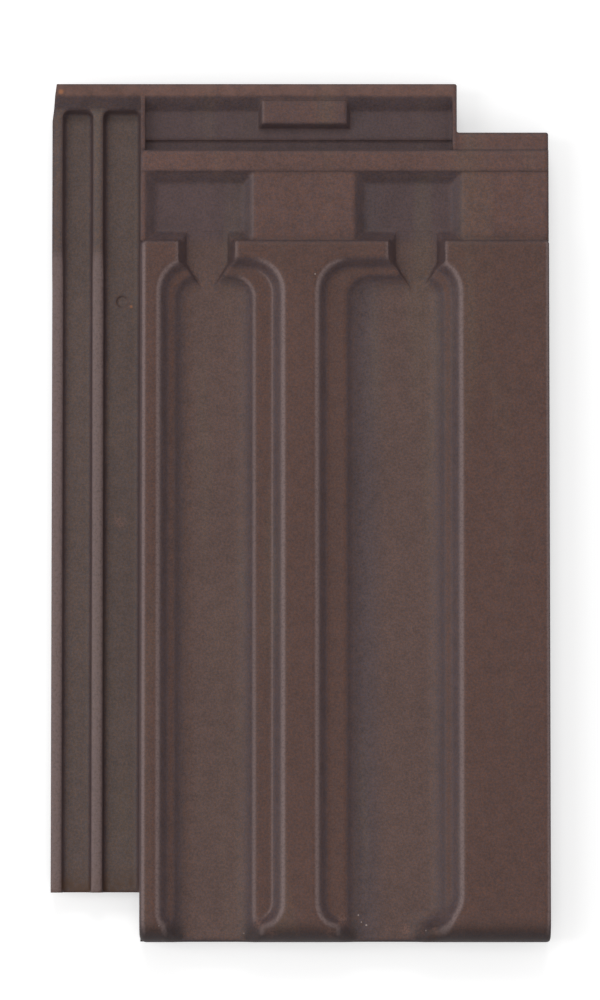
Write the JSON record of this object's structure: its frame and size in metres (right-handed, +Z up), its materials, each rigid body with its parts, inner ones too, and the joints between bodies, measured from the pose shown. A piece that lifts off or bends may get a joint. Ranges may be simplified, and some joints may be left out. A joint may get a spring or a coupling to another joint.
{
  "type": "clay roof tile",
  "caption": "Double-trough interlocking clay roof tile with a ribbed side lock, a stepped head lap with recesses and drain notches, and hanging nibs below.",
  "frame": {"origin": "middle of the tile's bounding box at floor level, with the tile lying face up on its feet and nibs", "axes": "+X across the roof, away from the side lock; +Y up the roof towards the head lap; +Z up out of the weather face"},
  "size_m": [0.26, 0.4484, 0.034],
  "materials": {
    "fired_clay": "matt dark brown engobe over fired clay"
  },
  "bodies": {
    "root": {"roof_tile": "fired_clay"}
  },
  "joints": []
}
